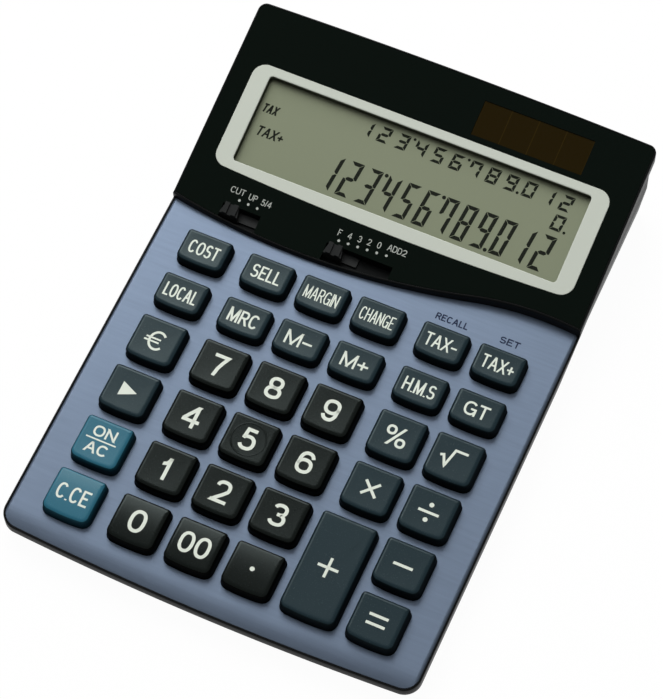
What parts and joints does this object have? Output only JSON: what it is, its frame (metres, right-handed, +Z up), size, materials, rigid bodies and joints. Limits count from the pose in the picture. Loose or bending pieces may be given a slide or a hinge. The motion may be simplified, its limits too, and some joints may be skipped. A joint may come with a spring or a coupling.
{
  "type": "desktop calculator",
  "caption": "Desktop calculator with a tilted two line display, solar cell, sprung keys on a brushed plate, slide switches and a battery door.",
  "frame": {"origin": "on the table under the middle of the case", "axes": "+X to the right, +Y to the back and the display, +Z up"},
  "size_m": [0.145, 0.2038, 0.0399],
  "materials": {
    "case_black": "fine grained black moulded plastic",
    "plate_blue": "brushed along the width, anodised pale blue",
    "panel_gloss": "polished black acrylic",
    "bezel_pale": "satin warm pale grey",
    "window_clear": "clear acrylic pane",
    "lcd": "grey green reflective display glass",
    "solar": "dark brown amorphous cell with four segments",
    "foot_rubber": "matt black rubber",
    "screw_steel": "zinc plated",
    "cell_steel": "nickel plated steel can",
    "contact_metal": "bare spring bronze",
    "board_green": "green solder mask on laminate",
    "chip_black": "black moulded package",
    "mat_rubber": "milky silicone rubber",
    "holder_white": "white moulded plastic",
    "zebra_rubber": "layered conductive rubber",
    "cable_film": "clear film over tinned conductors",
    "slider_dark": "dark grey moulded plastic",
    "key_slate": "slate blue plastic, semi gloss",
    "key_charcoal": "warm charcoal plastic, semi gloss",
    "key_teal": "teal blue plastic, semi gloss"
  },
  "bodies": {
    "case": {"upper_case": "case_black", "face_plate": "plate_blue", "display_panel": "panel_gloss", "window_bezel": "bezel_pale", "window_lens": "window_clear", "lcd_glass": "lcd", "solar_cell": "solar", "lower_case": "case_black", "rubber_feet": "foot_rubber", "case_screws": "screw_steel", "button_cell": "cell_steel", "battery_contacts": "contact_metal", "main_board": "board_green", "board_screws": "screw_steel", "rubber_dome_mat": "mat_rubber", "display_board": "board_green", "controller_chip": "chip_black", "lcd_holder": "holder_white", "zebra_strip": "zebra_rubber", "ribbon_cable": "cable_film"},
    "key_cost": {"key_cost": "key_slate"},
    "key_sell": {"key_sell": "key_slate"},
    "key_margin": {"key_margin": "key_slate"},
    "key_change": {"key_change": "key_slate"},
    "key_tax_minus": {"key_tax_minus": "key_slate"},
    "key_tax_plus": {"key_tax_plus": "key_slate"},
    "key_local": {"key_local": "key_slate"},
    "key_mrc": {"key_mrc": "key_slate"},
    "key_m_minus": {"key_m_minus": "key_slate"},
    "key_m_plus": {"key_m_plus": "key_slate"},
    "key_hms": {"key_hms": "key_slate"},
    "key_gt": {"key_gt": "key_slate"},
    "key_euro": {"key_euro": "key_slate"},
    "key_percent": {"key_percent": "key_slate"},
    "key_root": {"key_root": "key_slate"},
    "key_back": {"key_back": "key_slate"},
    "key_times": {"key_times": "key_slate"},
    "key_divide": {"key_divide": "key_slate"},
    "key_plus": {"key_plus": "key_slate"},
    "key_minus": {"key_minus": "key_slate"},
    "key_equals": {"key_equals": "key_slate"},
    "key_7": {"key_7": "key_charcoal"},
    "key_8": {"key_8": "key_charcoal"},
    "key_9": {"key_9": "key_charcoal"},
    "key_4": {"key_4": "key_charcoal"},
    "key_5": {"key_5": "key_charcoal"},
    "key_6": {"key_6": "key_charcoal"},
    "key_1": {"key_1": "key_charcoal"},
    "key_2": {"key_2": "key_charcoal"},
    "key_3": {"key_3": "key_charcoal"},
    "key_0": {"key_0": "key_charcoal"},
    "key_00": {"key_00": "key_charcoal"},
    "key_point": {"key_point": "key_charcoal"},
    "key_on_ac": {"key_on_ac": "key_teal"},
    "key_c_ce": {"key_c_ce": "key_teal"},
    "rounding_switch": {"rounding_slider": "slider_dark", "rounding_wiper": "contact_metal"},
    "decimal_switch": {"decimal_slider": "slider_dark", "decimal_wiper": "contact_metal"},
    "battery_cover": {"battery_door": "case_black"}
  },
  "joints": [
    {"name": "key_cost_press", "type": "slide", "parent": "case", "child": "key_cost", "axis": [0, 0.0471, -0.9989], "range_m": [0, 0.002], "stiffness_N_per_m": 250, "springref_m": -0.0004, "deforming": ["rubber_dome_mat"]},
    {"name": "key_sell_press", "type": "slide", "parent": "case", "child": "key_sell", "axis": [0, 0.0471, -0.9989], "range_m": [0, 0.002], "stiffness_N_per_m": 250, "springref_m": -0.0004, "deforming": ["rubber_dome_mat"]},
    {"name": "key_margin_press", "type": "slide", "parent": "case", "child": "key_margin", "axis": [0, 0.0471, -0.9989], "range_m": [0, 0.002], "stiffness_N_per_m": 250, "springref_m": -0.0004, "deforming": ["rubber_dome_mat"]},
    {"name": "key_change_press", "type": "slide", "parent": "case", "child": "key_change", "axis": [0, 0.0471, -0.9989], "range_m": [0, 0.002], "stiffness_N_per_m": 250, "springref_m": -0.0004, "deforming": ["rubber_dome_mat"]},
    {"name": "key_tax_minus_press", "type": "slide", "parent": "case", "child": "key_tax_minus", "axis": [0, 0.0471, -0.9989], "range_m": [0, 0.002], "stiffness_N_per_m": 250, "springref_m": -0.0004, "deforming": ["rubber_dome_mat"]},
    {"name": "key_tax_plus_press", "type": "slide", "parent": "case", "child": "key_tax_plus", "axis": [0, 0.0471, -0.9989], "range_m": [0, 0.002], "stiffness_N_per_m": 250, "springref_m": -0.0004, "deforming": ["rubber_dome_mat"]},
    {"name": "key_local_press", "type": "slide", "parent": "case", "child": "key_local", "axis": [0, 0.0471, -0.9989], "range_m": [0, 0.002], "stiffness_N_per_m": 250, "springref_m": -0.0004, "deforming": ["rubber_dome_mat"]},
    {"name": "key_mrc_press", "type": "slide", "parent": "case", "child": "key_mrc", "axis": [0, 0.0471, -0.9989], "range_m": [0, 0.002], "stiffness_N_per_m": 250, "springref_m": -0.0004, "deforming": ["rubber_dome_mat"]},
    {"name": "key_m_minus_press", "type": "slide", "parent": "case", "child": "key_m_minus", "axis": [0, 0.0471, -0.9989], "range_m": [0, 0.002], "stiffness_N_per_m": 250, "springref_m": -0.0004, "deforming": ["rubber_dome_mat"]},
    {"name": "key_m_plus_press", "type": "slide", "parent": "case", "child": "key_m_plus", "axis": [0, 0.0471, -0.9989], "range_m": [0, 0.002], "stiffness_N_per_m": 250, "springref_m": -0.0004, "deforming": ["rubber_dome_mat"]},
    {"name": "key_hms_press", "type": "slide", "parent": "case", "child": "key_hms", "axis": [0, 0.0471, -0.9989], "range_m": [0, 0.002], "stiffness_N_per_m": 250, "springref_m": -0.0004, "deforming": ["rubber_dome_mat"]},
    {"name": "key_gt_press", "type": "slide", "parent": "case", "child": "key_gt", "axis": [0, 0.0471, -0.9989], "range_m": [0, 0.002], "stiffness_N_per_m": 250, "springref_m": -0.0004, "deforming": ["rubber_dome_mat"]},
    {"name": "key_euro_press", "type": "slide", "parent": "case", "child": "key_euro", "axis": [0, 0.0471, -0.9989], "range_m": [0, 0.002], "stiffness_N_per_m": 250, "springref_m": -0.0004, "deforming": ["rubber_dome_mat"]},
    {"name": "key_percent_press", "type": "slide", "parent": "case", "child": "key_percent", "axis": [0, 0.0471, -0.9989], "range_m": [0, 0.002], "stiffness_N_per_m": 250, "springref_m": -0.0004, "deforming": ["rubber_dome_mat"]},
    {"name": "key_root_press", "type": "slide", "parent": "case", "child": "key_root", "axis": [0, 0.0471, -0.9989], "range_m": [0, 0.002], "stiffness_N_per_m": 250, "springref_m": -0.0004, "deforming": ["rubber_dome_mat"]},
    {"name": "key_back_press", "type": "slide", "parent": "case", "child": "key_back", "axis": [0, 0.0471, -0.9989], "range_m": [0, 0.002], "stiffness_N_per_m": 250, "springref_m": -0.0004, "deforming": ["rubber_dome_mat"]},
    {"name": "key_times_press", "type": "slide", "parent": "case", "child": "key_times", "axis": [0, 0.0471, -0.9989], "range_m": [0, 0.002], "stiffness_N_per_m": 250, "springref_m": -0.0004, "deforming": ["rubber_dome_mat"]},
    {"name": "key_divide_press", "type": "slide", "parent": "case", "child": "key_divide", "axis": [0, 0.0471, -0.9989], "range_m": [0, 0.002], "stiffness_N_per_m": 250, "springref_m": -0.0004, "deforming": ["rubber_dome_mat"]},
    {"name": "key_plus_press", "type": "slide", "parent": "case", "child": "key_plus", "axis": [0, 0.0471, -0.9989], "range_m": [0, 0.002], "stiffness_N_per_m": 250, "springref_m": -0.0004, "deforming": ["rubber_dome_mat"]},
    {"name": "key_minus_press", "type": "slide", "parent": "case", "child": "key_minus", "axis": [0, 0.0471, -0.9989], "range_m": [0, 0.002], "stiffness_N_per_m": 250, "springref_m": -0.0004, "deforming": ["rubber_dome_mat"]},
    {"name": "key_equals_press", "type": "slide", "parent": "case", "child": "key_equals", "axis": [0, 0.0471, -0.9989], "range_m": [0, 0.002], "stiffness_N_per_m": 250, "springref_m": -0.0004, "deforming": ["rubber_dome_mat"]},
    {"name": "key_7_press", "type": "slide", "parent": "case", "child": "key_7", "axis": [0, 0.0471, -0.9989], "range_m": [0, 0.002], "stiffness_N_per_m": 250, "springref_m": -0.0004, "deforming": ["rubber_dome_mat"]},
    {"name": "key_8_press", "type": "slide", "parent": "case", "child": "key_8", "axis": [0, 0.0471, -0.9989], "range_m": [0, 0.002], "stiffness_N_per_m": 250, "springref_m": -0.0004, "deforming": ["rubber_dome_mat"]},
    {"name": "key_9_press", "type": "slide", "parent": "case", "child": "key_9", "axis": [0, 0.0471, -0.9989], "range_m": [0, 0.002], "stiffness_N_per_m": 250, "springref_m": -0.0004, "deforming": ["rubber_dome_mat"]},
    {"name": "key_4_press", "type": "slide", "parent": "case", "child": "key_4", "axis": [0, 0.0471, -0.9989], "range_m": [0, 0.002], "stiffness_N_per_m": 250, "springref_m": -0.0004, "deforming": ["rubber_dome_mat"]},
    {"name": "key_5_press", "type": "slide", "parent": "case", "child": "key_5", "axis": [0, 0.0471, -0.9989], "range_m": [0, 0.002], "stiffness_N_per_m": 250, "springref_m": -0.0004, "deforming": ["rubber_dome_mat"]},
    {"name": "key_6_press", "type": "slide", "parent": "case", "child": "key_6", "axis": [0, 0.0471, -0.9989], "range_m": [0, 0.002], "stiffness_N_per_m": 250, "springref_m": -0.0004, "deforming": ["rubber_dome_mat"]},
    {"name": "key_1_press", "type": "slide", "parent": "case", "child": "key_1", "axis": [0, 0.0471, -0.9989], "range_m": [0, 0.002], "stiffness_N_per_m": 250, "springref_m": -0.0004, "deforming": ["rubber_dome_mat"]},
    {"name": "key_2_press", "type": "slide", "parent": "case", "child": "key_2", "axis": [0, 0.0471, -0.9989], "range_m": [0, 0.002], "stiffness_N_per_m": 250, "springref_m": -0.0004, "deforming": ["rubber_dome_mat"]},
    {"name": "key_3_press", "type": "slide", "parent": "case", "child": "key_3", "axis": [0, 0.0471, -0.9989], "range_m": [0, 0.002], "stiffness_N_per_m": 250, "springref_m": -0.0004, "deforming": ["rubber_dome_mat"]},
    {"name": "key_0_press", "type": "slide", "parent": "case", "child": "key_0", "axis": [0, 0.0471, -0.9989], "range_m": [0, 0.002], "stiffness_N_per_m": 250, "springref_m": -0.0004, "deforming": ["rubber_dome_mat"]},
    {"name": "key_00_press", "type": "slide", "parent": "case", "child": "key_00", "axis": [0, 0.0471, -0.9989], "range_m": [0, 0.002], "stiffness_N_per_m": 250, "springref_m": -0.0004, "deforming": ["rubber_dome_mat"]},
    {"name": "key_point_press", "type": "slide", "parent": "case", "child": "key_point", "axis": [0, 0.0471, -0.9989], "range_m": [0, 0.002], "stiffness_N_per_m": 250, "springref_m": -0.0004, "deforming": ["rubber_dome_mat"]},
    {"name": "key_on_ac_press", "type": "slide", "parent": "case", "child": "key_on_ac", "axis": [0, 0.0471, -0.9989], "range_m": [0, 0.002], "stiffness_N_per_m": 250, "springref_m": -0.0004, "deforming": ["rubber_dome_mat"]},
    {"name": "key_c_ce_press", "type": "slide", "parent": "case", "child": "key_c_ce", "axis": [0, 0.0471, -0.9989], "range_m": [0, 0.002], "stiffness_N_per_m": 250, "springref_m": -0.0004, "deforming": ["rubber_dome_mat"]},
    {"name": "rounding_slide", "type": "slide", "parent": "case", "child": "rounding_switch", "axis": [1, 0, 0], "range_m": [0, 0.00672]},
    {"name": "decimal_slide", "type": "slide", "parent": "case", "child": "decimal_switch", "axis": [1, 0, 0], "range_m": [0, 0.0168]},
    {"name": "battery_door_out", "type": "slide", "parent": "case", "child": "battery_cover", "axis": [0, 0, -1], "range_m": [0, 0.012]}
  ]
}
